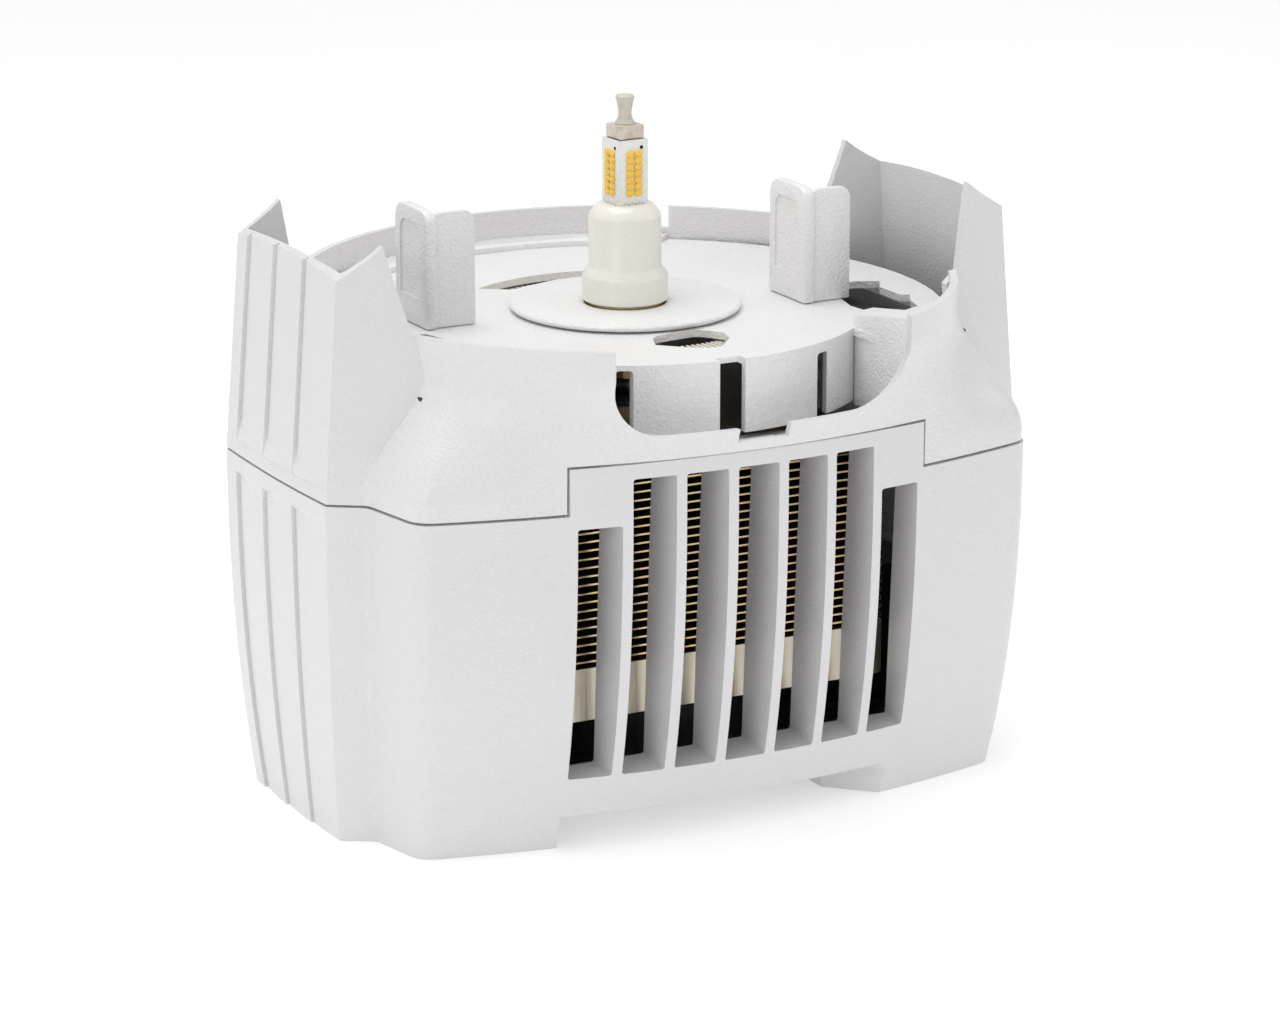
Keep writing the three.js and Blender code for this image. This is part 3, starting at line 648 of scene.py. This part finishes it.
def tower_profile(side):
    top = [(WING_TIP[0] + 18.7 * t, WING_TIP[1] - 12.5 * t ** 0.9) for t in (0, 0.25, 0.5, 0.75, 1)]
    points = [WING_FOOT, *top, (165, TOWER_TOP + 0.5), (165, 140), (TOWER_IN - 8, 140), (TOWER_IN - 8, 200)]

    def crown(x, y, z):
        arch = END_ARCH * max(0.0, 1 - ((z - 0.5) * 240 / END_HALF) ** 2)
        return (x, y + arch * smooth((abs(x) - 138) / 10) * (y > 200), z)

    outline = flat_outline([(side * x, z) for x, z in points])
    return along_y(pulled(outline, [i / 48 for i in range(49)], crown), -120, 120)


def front_window():
    w, f = WINDOW_HALF, WINDOW_ROUND
    points = [(-w, 240), (-w, WINDOW_LOW), (-KEY_HALF, WINDOW_LOW), (-KEY_HALF, KEY_LOW)]
    points += [(KEY_HALF, KEY_LOW), (KEY_HALF, WINDOW_LOW), (w, WINDOW_LOW), (w, 240)]
    return along_y(pulled(flat_outline(points, {1: f, 6: f}), (0, 1)), -200, -60)


def upper_shell():
    low = PARTING + PARTING_GAP
    levels = [low - 4 + (RIM - low + 4) * i / 24 for i in range(25)]
    skin = pulled(flat_outline(*housing_plan(0.6, False)), levels, shoulder(0))
    piece = new_object("upper_housing_shell", skin, "shoulder_coat")
    inner_levels = [low - 8 + (RIM - low + 12) * i / 16 for i in range(17)]
    cut_with(piece, pulled(flat_outline(*housing_plan(3.6, False)), inner_levels, shoulder(WALL)))
    # The inside below the deck is painted near-black as shade.
    cut_with(piece, painted_shade_lining(), "inside_painted_shade")
    for side in (-1, 1):
        block = new_object("tower", tower(side, 0, low - 4, 250, True), "housing_coat")
        cut_with(block, tower_profile(side), operation="INTERSECT")
        carve(piece, block, "UNION")
        cut_with(piece, tower(side, WALL, low - 8, 260, False))
        cut_with(piece, moved(tower(side, WALL, low - 8, 260, False), Matrix.Translation((-side * 30, 0, 0))))
    cut_with(piece, over_parting(low, STEP_HALF + PARTING_GAP), operation="INTERSECT")
    cut_with(piece, front_window())
    cut_with(piece, box((50, 79), (90, 200), (199, 230)))
    return piece


finish_piece(upper_shell(), "head", "housing_paint", "upper_housing")

# %% [markdown]
# ## Deck
# The floor of the bowl. Behind the window it ends in a round skirt with tall openings, so that air
# and a little light reach the fins. Pockets beside the towers, a crescent and a scallop by the lamp
# are open to the dark inside.

# %% Deck
DECK_R, FLOOR_R = 99.0, 132.2
SKIRT_HALF_ANGLE, SKIRT_LOW, SKIRT_WALL = 0.72, 164, 3
SKIRT_SLOTS = ((-49, -42.6, 192), (-9, 2.2, 192), (39.5, 45.5, 190))
POCKET = ((92, -4), (108, -2), (117.5, -6.5), (112, -16), (112.5, -32), (116, -34), (111, -43), (108.5, -53))
POCKET += ((100, -57), (90.5, -47), (85, -49), (84, -40))


def arc(radius, start, end, count):
    angles = [start + (end - start) * i / count for i in range(count + 1)]
    return [(radius * math.cos(a), radius * math.sin(a)) for a in angles]


def deck_outline():
    start = math.atan2(-112, 66)
    half = SKIRT_HALF_ANGLE
    return [*arc(DECK_R, -PI / 2 - half, -PI / 2 + half, 30), *arc(FLOOR_R, start, PI - start, 60)]


def scallop_block():
    corners = [(-19, -63), (-14, -50), (8, -47), (15, -57), (13, -66), (2, -79), (-9, -73)]
    return pulled(flat_outline(corners, {1: 5, 2: 3, 5: 4}), (150, 230))


def crescent():
    return [*arc(70.5, 1.25, 2.15, 20), *arc(57.0, 2.05, 1.35, 20)]


def deck_shape():
    floor = pulled(flat_outline(deck_outline()), (DECK_TOP - 3, DECK_TOP))
    piece = new_object("round_deck", floor, "deck_coat")
    inner, top = DECK_R - SKIRT_WALL, DECK_TOP - 1
    skirt = turned(ring_profile((inner, SKIRT_LOW), (DECK_R, SKIRT_LOW), (DECK_R, top), (inner, top)))
    keep_front = new_object("skirt", skirt, "deck_coat")
    cut_with(keep_front, box((-66, 66), (-120, -50), (150, 200)), "deck_coat", "INTERSECT")
    carve(piece, keep_front, "UNION")
    for left, right, slot_top in SKIRT_SLOTS:
        opening = box((left, right), (-110, -70), (150, slot_top))
        opening = rounded(opening, 1.6, 3, pick=lambda e: abs(e.verts[0].co.y - e.verts[1].co.y) > 30)
        cut_with(piece, opening, "deck_coat")
    cut_with(piece, box((-9, 2.2), (-110, -94.5), (180, 200)), "deck_coat")
    cut_with(piece, pulled(flat_outline(crescent()), (150, 230)), "deck_coat")
    cut_with(piece, scallop_block(), "deck_coat")
    for side in (-1, 1):
        pocket = [(side * x, y) for x, y in POCKET]
        cut_with(piece, pulled(flat_outline(pocket), (150, 230)), "deck_coat")
    cut_with(piece, turned([(0, 150), (17, 150), (17, 230), (0, 230)]), "deck_coat")
    # Faces that look down, and the skirt's inner faces below the deck, are painted near-black as shade.
    piece.data.materials.append(FINISHES["inside_painted_shade"])
    for face in piece.data.polygons:
        below = face.center.z < DECK_TOP - 4
        inwards = face.normal.xy.dot(face.center.xy) < -0.5 * face.center.xy.length
        if face.normal.z < -0.5 or (inwards and below):
            face.material_index = len(piece.data.materials) - 1
    return piece


finish_piece(deck_shape(), "head", "housing_paint", "deck", edge=0.6)

# %% [markdown]
# Each side of the window has a cheek, a short wall from the window's edge back to the deck.

# %% Window cheeks
def cheek(side):
    outline = [(65.9, -118.5), (68.9, -117.5), (70.0, -73.0), (66.5, -73.0)]

    def climb(x, y, z):
        return (x, y, z + (z > 190) * (-y - 73) / 45.5 * 8)

    outline = flat_outline([(side * x, y) for x, y in outline])
    piece = new_object("cheek", pulled(outline, (162, 199), climb), "deck_coat")
    levels = [160 + 3 * i for i in range(19)]
    room = pulled(flat_outline(*housing_plan(2.0, False)), levels, shoulder(1.4))
    return cut_with(piece, room, "deck_coat", "INTERSECT")


for side, name in ((-1, "window_cheek_left"), (1, "window_cheek_right")):
    wall = cheek(side)
    wall.name = name
    finish_piece(wall, "head", "housing_paint", edge=0.5)

# %% [markdown]
# Three small castings finish the bowl: a ledge behind the key notch of the window, a low step
# around the back of the floor, and the ribbed cream ring that shows through the crescent.

# %% Bowl details
ledge = rounded(box((-14, 14), (-112.5, -101), (159.5, 162.5)), 0.8)
finish_piece(new_object("key_ledge", ledge, "deck_coat"), "head", "housing_paint")


def back_step():
    outline = flat_outline([*arc(FLOOR_R, 0.95, 2.75, 40), *arc(118, 2.72, 0.98, 40)])
    return rounded(pulled(outline, (DECK_TOP - 0.5, DECK_TOP + 2.6)), 0.8)


RING_RIBS = 150


def ribbed_ring():
    shape = turned(ring_profile((56, 186), (73, 186), (73, 189.4), (56, 189.4)), 96)
    for i in range(RING_RIBS):
        turn = Matrix.Rotation(2 * PI * i / RING_RIBS, 4, "Z")
        size = Matrix.Diagonal((17, 1.0, 1.4, 1))
        bmesh.ops.create_cube(shape, size=1, matrix=turn @ Matrix.Translation((64.5, 0, 189.8)) @ size)
    return shape


# Two near-black sheets under the side pockets are painted shade, the dark seen through them.
for side, name in ((-1, "pocket_shade_left"), (1, "pocket_shade_right")):
    x_range = sorted((side * 80, side * 124))
    shade = rounded(box(x_range, (-66, 66), (184, 185.5)), 0.4)
    finish_piece(new_object(name, shade, "inside_painted_shade"), "head", "black")
finish_piece(new_object("back_step", back_step(), "deck_coat"), "head", "housing_paint")
finish_piece(new_object("ribbed_ring", ribbed_ring(), "nylon"), "head", "nylon")

# %% [markdown]
# ## Angle posts
# Two cast posts with an L section guide the lamp dome. Each has a thin flange and a thicker web, and
# both plates end in a full round.

# %% Posts
POSTS = {"right": (67.5, -30.0), "left": (-90.0, 0.0)}
POST_TOP = 243.0


def plate(start, end, top, rounds):
    low = DECK_TOP + 0.3
    return flat_outline([(start, low), (end, low), (end, top), (start, top)], {2: rounds[1], 3: rounds[0]})


def post_shape(x, y):
    """A thick web running back, with a hollowed side, and a thin flange set a little behind its edge."""
    flange = rounded(along_y(pulled(plate(4, 22.8, POST_TOP - 1, (3, 5)), (0, 1)), 1.6, 4.6), 0.7)
    web = along_y(pulled(plate(0, 30, POST_TOP, (5.5, 6.5)), (0, 1)), -5, 0)
    web = moved(web, Matrix.Rotation(PI / 2, 4, "Z"))
    piece = new_object("post", rounded(web, 0.9), "deck_coat")
    hollow = [(6, 206), (25, 206), (25, 237), (6, 237)]
    side_hollow = along_y(pulled(flat_outline(hollow, {2: 5, 3: 5}), (0, 1)), -0.7, 3)
    cut_with(piece, moved(side_hollow, Matrix.Rotation(PI / 2, 4, "Z")), "deck_coat")
    cut_with(piece, flange, "deck_coat", "UNION")
    piece.data.transform(Matrix.Translation((x, y, 0)))
    return piece


for side, (x, y) in POSTS.items():
    post = post_shape(x, y)
    post.name = "angle_post_" + side
    finish_piece(post, "head", "housing_paint", "guide_post_" + side)

# %% [markdown]
# ## Lamp plate and lamp
# The lamp stands on a round cast plate. It is a corn lamp with its dome off: a ceramic body with a
# collar, a square column with one board of LEDs on each face, a cap and a clear stem.

# %% Lamp plate
PLATE_TOP = 197.6
plate_profile = ring_profile(
    (17, 194.6), (45, 194.6), (47.0, 195.1), (47.8, 196.0), (47.8, 196.7), (47.2, 197.4),
    (46.2, PLATE_TOP), (19.5, PLATE_TOP), (17, 197.0),
)
lamp_seat = new_object("lamp_seat", turned(plate_profile, 128), "deck_coat")
finish_piece(lamp_seat, "head", "housing_paint", "lamp_plate")

# %% Lamp body
body_profile = [(0, 198.0), (16.8, 198.0), (17.6, 198.6), (17.75, 199.4), (17.75, 208.2), (17.5, 209.2)]
body_profile += [(15.5, 211.8), (15.0, 212.8), (15.0, 233.0), (14.7, 234.2), (13.1, 236.6)]
body_profile += [(11.4, 238.2), (10.4, 238.6), (0, 238.6)]
lamp_body = new_object("lamp_body_shell", turned(body_profile, 96), "lamp_ceramic")
finish_piece(lamp_body, "lamp", "lamp_cream", "lamp_body")

# %% Lamp column
LAMP_TURN = Matrix.Rotation(0.073, 4, "Z")
COLUMN_HALF, COLUMN_LOW, COLUMN_HIGH = 7.0, 238.4, 265.4
CHIP_ROWS, CHIP_COLUMNS = 7, 2


def board_shape(turn):
    low = COLUMN_LOW - 2.5
    shape = rounded(box((-6.6, 6.6), (-COLUMN_HALF, -COLUMN_HALF + 1.2), (low, COLUMN_HIGH)), 0.15)
    piece = new_object("board", shape, "white_resist", "led_phosphor", "black_plastic_and_shade")
    hole = moved(turned([(0, -1), (0.8, -1), (0.8, 1), (0, 1)], 16), Matrix.Rotation(PI / 2, 4, "X"))
    cut_with(piece, moved(hole, Matrix.Translation((3.6, -COLUMN_HALF, 262.2))), "black_plastic_and_shade")
    piece.data.transform(turn)
    return piece


def chips_shape(turn):
    shape = bmesh.new()
    for row in range(CHIP_ROWS):
        for column in range(CHIP_COLUMNS):
            at = (-2.0 + 4.0 * column, -COLUMN_HALF - 0.35, 243.6 + 2.72 * row)
            made = bmesh.ops.create_icosphere(shape, subdivisions=2, radius=1)
            bmesh.ops.scale(shape, vec=(2.05, 0.8, 1.62), verts=made["verts"])
            bmesh.ops.translate(shape, vec=at, verts=made["verts"])
    return moved(shape, turn)


def pins_shape(turn):
    shape = bmesh.new()
    for i in range(6):
        at = Matrix.Translation((-4.2 + 1.7 * i, -COLUMN_HALF - 0.1, 239.4 - 0.5 * (i % 2)))
        bmesh.ops.create_uvsphere(shape, u_segments=8, v_segments=6, radius=0.3, matrix=at)
    return moved(shape, turn)


for i in range(4):
    turn = LAMP_TURN @ Matrix.Rotation(i * PI / 2, 4, "Z")
    board = board_shape(turn)
    board.name = f"led_strip_{i + 1}"
    finish_piece(board, "lamp", "led_board", f"led_board_{i + 1}")
    finish_piece(new_object(f"led_chips_{i + 1}", chips_shape(turn), "led_phosphor"), "lamp", "led_board")
    finish_piece(new_object(f"board_pins_{i + 1}", pins_shape(turn), "turned_steel"), "lamp", "steel")

# %% Cap and stem
cap_shape = rounded(box((-5.7, 5.7), (-5.7, 5.7), (COLUMN_HIGH + 0.3, 271.2)), 0.35)
cap = new_object("column_cap_block", moved(cap_shape, LAMP_TURN), "cap_metal")
finish_piece(cap, "lamp", "steel", "column_cap")
stem_profile = [(0, 271.4), (4.3, 271.4), (3.9, 272.2), (3.0, 273.6), (2.7, 275.4), (2.9, 277.5)]
stem_profile += [(3.5, 280.5), (3.9, 282.2), (3.9, 282.7), (3.6, 283.0), (1.6, 282.6), (0, 282.2)]
stem = new_object("lamp_stem_clear", turned(stem_profile, 48), "stem_plastic")
finish_piece(stem, "lamp", "lamp_cream", "lamp_stem")

# %% [markdown]
# ## Fins and band
# The heat sink around the motor is a stack of thin plates with a flat front, so every slot shows them
# at the same depth. Their edges are champagne metal; their flat faces and a block between them are
# painted black as the shade in the gaps. A brushed band with the same outline closes the stack below.

# %% Heat sink
SINK_X, SINK_FRONT, SINK_BACK, BORE_R = (-77.5, 80.5), -79.0, 60.0, 64.5
FIN_LOW, FIN_PITCH, FIN_THICK, FINS = 71.6, 3.55, 0.7, 22
BAND_LOW, BAND_HIGH, BAND_WALL = 47.5, 69.2, 3


def sink_outline(inset):
    left, right = SINK_X[0] + inset, SINK_X[1] - inset
    front, back = SINK_FRONT + inset, SINK_BACK - inset
    corners = [(left, front), (right, front), (right, 0), (62 - inset, back)]
    corners += [(-62 + inset, back), (left, 0)]
    return flat_outline(corners, {0: 6.0, 1: 6.0, 3: 6.0, 4: 6.0})


def sink_layer(name, inset, low, high, bore, *finishes):
    piece = new_object(name, pulled(sink_outline(inset), (low, high)), *finishes)
    if bore:
        bore_shape = turned([(0, low - 1), (bore, low - 1), (bore, high + 1), (0, high + 1)])
        cut_with(piece, bore_shape, finishes[-1])
    return piece


def cooling_fins():
    """One plate with a bore, copied up the stack. Only its outer edge shows bare metal; its flat faces and
    bore are painted black as shade between the plates.
    """
    finishes = ("champagne_fin", "black_plastic_and_shade")
    fin = sink_layer("cooling_fins", 0, FIN_LOW, FIN_LOW + FIN_THICK, BORE_R, *finishes)
    # Painted shade: bore and flat faces take the black.
    for face in fin.data.polygons:
        inside = face.center.xy.length < BORE_R + 1
        face.material_index = 1 if inside or abs(face.normal.z) > 0.5 else 0
    stack = bmesh.new()
    for i in range(FINS):
        start = len(stack.verts)
        stack.from_mesh(fin.data)
        bmesh.ops.translate(stack, vec=(0, 0, FIN_PITCH * i), verts=stack.verts[start:])
    stack.to_mesh(fin.data)
    stack.free()
    return fin


finish_piece(cooling_fins(), "head", "champagne", "cooling_barrel")
# A black block inside the stack is painted shade, the dark seen in the gaps between plates.
gap_shade = sink_layer("fin_gap_shade", 9.5, FIN_LOW, FIN_LOW + FINS * FIN_PITCH, BORE_R, "black_plastic_and_shade")
finish_piece(gap_shade, "head", "black")
band = sink_layer("brushed_band", 0, BAND_LOW, BAND_HIGH, 0, "champagne_band")
cut_with(band, pulled(sink_outline(BAND_WALL), (BAND_LOW + BAND_WALL, 75)), "champagne_band")
cut_with(band, turned([(0, 40), (14, 40), (14, 80), (0, 80)]), "champagne_band")
finish_piece(band, "head", "champagne", "lower_end_bell", edge=0.5)

# %% [markdown]
# ## The CAD pieces that stay
# Gears, bearings, plates and electrics are already the right shape. Each only gets its own finish.

# %% Finishes for the CAD nodes
CAD_FINISH = {
    "turned_steel": "lamp_screw_base led_column lower_bearing upper_bearing rotor motor_shaft sun_gear "
    "ring_gear output_bearing planet_carrier drive_sprocket sprocket_nut capacitor housing_screw_1 "
    "housing_screw_2 housing_screw_3 housing_screw_4",
    "sheet_steel": "chassis_plate",
    "champagne_band": "upper_end_bell",
    "black_plastic_and_shade": "encoder_wheel gear_case transformer relay_1 relay_2 up_button down_button power_inlet "
    "antenna_sleeve",
    "copper_winding": "stator",
    "green_resist": "control_board",
    "brass_shell": "lamp_socket",
    "nylon": "planet_gear_1 planet_gear_2 planet_gear_3",
    "red_plastic": "learn_button",
    "grey_plastic": "control_panel terminal_block",
}
for finish, names in CAD_FINISH.items():
    for name in names.split():
        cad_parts[name].data.materials.clear()
        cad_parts[name].data.materials.append(FINISHES[finish])
print("CAD nodes with a finish", sum(len(names.split()) for names in CAD_FINISH.values()))

# %% [markdown]
# ## Floor
# A wide pale sheet under the feet, plain enough to vanish into the bright surround.

# %% Floor
floor_shape = bmesh.new()
bmesh.ops.create_grid(floor_shape, x_segments=1, y_segments=1, size=6)
floor_finish = Finish("floor_sheet", Roughness=0.6, Emission_Color=(1, 1, 1, 1), Emission_Strength=0.28)
clouds = floor_finish.noise(3.0)
floor_finish.set(Base_Color=floor_finish.ramp(clouds, (0.3, (0.93, 0.93, 0.93)), (0.7, (0.95, 0.95, 0.95))))
keep("floor_sheet", floor_finish)
new_object("floor", floor_shape, "floor_sheet")
